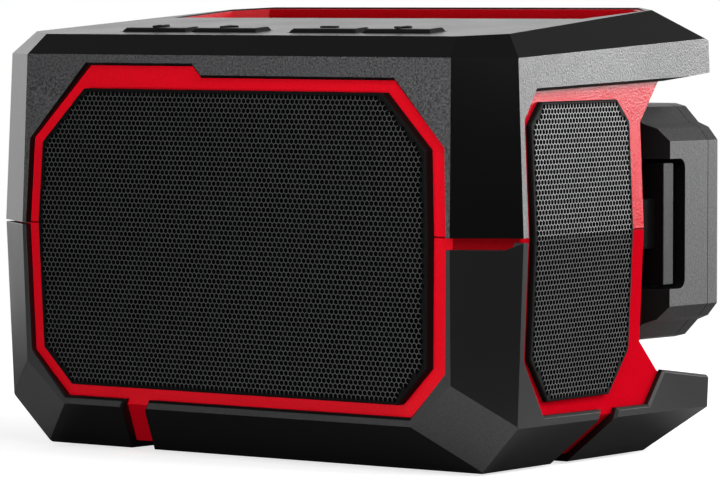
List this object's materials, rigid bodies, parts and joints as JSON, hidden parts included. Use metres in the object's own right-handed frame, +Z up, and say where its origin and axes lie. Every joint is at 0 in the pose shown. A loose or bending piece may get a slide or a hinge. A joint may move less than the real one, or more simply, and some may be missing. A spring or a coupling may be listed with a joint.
{
  "type": "battery-powered speaker",
  "caption": "Angular armoured speaker with perforated grilles on front and sides, roof buttons, a roof tray and a slide-on battery in a rear bay.",
  "frame": {"origin": "under the middle of the part's box, on the surface it stands on", "axes": "+X to the right seen from the front, -Y towards the listener, +Z up"},
  "size_m": [0.21, 0.1408, 0.1422],
  "materials": {
    "armour": "fine-textured charcoal moulding with satin facets",
    "bumper": "fine-textured charcoal moulding",
    "red_housing": "satin red moulding",
    "grille": "black coated perforated sheet",
    "rubber": "matt black rubber",
    "button": "satin charcoal moulding",
    "circuit_board": "green solder mask",
    "black_plastic": "matt black moulding",
    "basket_steel": "black coated pressed steel",
    "magnet": "ferrite and steel",
    "cone": "pressed cone",
    "spider": "corrugated cloth",
    "aluminium": "extruded fins",
    "shield": "tinned can",
    "capacitor": "sleeved can",
    "contact": "plated blades",
    "battery_shell": "fine-textured charcoal moulding",
    "carrier": "natural moulding",
    "cell": "sleeved cell",
    "spring_steel": "bright wire",
    "screw": "zinc-plated"
  },
  "bodies": {
    "speaker": {"top_armour": "armour", "front_left_bumper": "bumper", "front_right_bumper": "bumper", "rear_left_bumper": "bumper", "rear_right_bumper": "bumper", "upper_housing": "red_housing", "lower_housing": "red_housing", "front_grille": "grille", "left_grille": "grille", "right_grille": "grille", "rubber_feet": "rubber", "housing_screws": "screw", "button_board": "circuit_board", "button_switches": "black_plastic", "button_board_screws": "screw", "driver_baffle": "black_plastic", "baffle_screws": "screw", "left_basket": "basket_steel", "right_basket": "basket_steel", "left_magnet": "magnet", "right_magnet": "magnet", "left_surround": "rubber", "right_surround": "rubber", "left_spider": "spider", "right_spider": "spider", "driver_screws": "screw", "left_radiator_plate": "black_plastic", "right_radiator_plate": "black_plastic", "left_roll": "rubber", "right_roll": "rubber", "main_board": "circuit_board", "heat_sink": "aluminium", "radio_module": "shield", "board_capacitors": "capacitor", "main_board_screws": "screw", "battery_dock": "black_plastic", "terminal_block": "black_plastic", "dock_blades": "contact", "dock_screws": "screw"},
    "battery": {"battery_case": "battery_shell", "battery_cover": "battery_shell", "cell_carrier": "carrier", "battery_cells": "cell", "battery_board": "circuit_board", "battery_terminals": "contact", "latch_spring": "spring_steel", "battery_screws": "screw"},
    "latch": {"battery_latch": "battery_shell"},
    "power_button": {"power_button": "button"},
    "play_button": {"play_button": "button"},
    "minus_button": {"minus_button": "button"},
    "plus_button": {"plus_button": "button"},
    "left_cone": {"left_cone": "cone"},
    "right_cone": {"right_cone": "cone"},
    "left_diaphragm": {"left_diaphragm": "cone"},
    "right_diaphragm": {"right_diaphragm": "cone"}
  },
  "joints": [
    {"name": "battery_slide", "type": "slide", "parent": "speaker", "child": "battery", "axis": [1, 0, 0], "range_m": [0, 0.125]},
    {"name": "latch_press", "type": "slide", "parent": "battery", "child": "latch", "axis": [0, 1, 0], "range_m": [0, 0.0035], "stiffness_N_per_m": 900, "springref_m": -0.002, "deforming": ["latch_spring"]},
    {"name": "power_press", "type": "slide", "parent": "speaker", "child": "power_button", "axis": [0, 0.0785, -0.9969], "range_m": [0, 0.0008], "stiffness_N_per_m": 900, "springref_m": -0.0006},
    {"name": "play_press", "type": "slide", "parent": "speaker", "child": "play_button", "axis": [0, 0.0785, -0.9969], "range_m": [0, 0.0008], "stiffness_N_per_m": 900, "springref_m": -0.0006},
    {"name": "minus_press", "type": "slide", "parent": "speaker", "child": "minus_button", "axis": [0, 0.0785, -0.9969], "range_m": [0, 0.0008], "stiffness_N_per_m": 900, "springref_m": -0.0006},
    {"name": "plus_press", "type": "slide", "parent": "speaker", "child": "plus_button", "axis": [0, 0.0785, -0.9969], "range_m": [0, 0.0008], "stiffness_N_per_m": 900, "springref_m": -0.0006},
    {"name": "left_cone_stroke", "type": "slide", "parent": "speaker", "child": "left_cone", "axis": [0, 1, 0], "range_m": [-0.002, 0.002], "stiffness_N_per_m": 900},
    {"name": "right_cone_stroke", "type": "slide", "parent": "speaker", "child": "right_cone", "axis": [0, 1, 0], "range_m": [-0.002, 0.002], "stiffness_N_per_m": 900},
    {"name": "left_diaphragm_stroke", "type": "slide", "parent": "speaker", "child": "left_diaphragm", "axis": [-1, 0, 0], "range_m": [-0.002, 0.002], "stiffness_N_per_m": 900},
    {"name": "right_diaphragm_stroke", "type": "slide", "parent": "speaker", "child": "right_diaphragm", "axis": [1, 0, 0], "range_m": [-0.002, 0.002], "stiffness_N_per_m": 900}
  ]
}
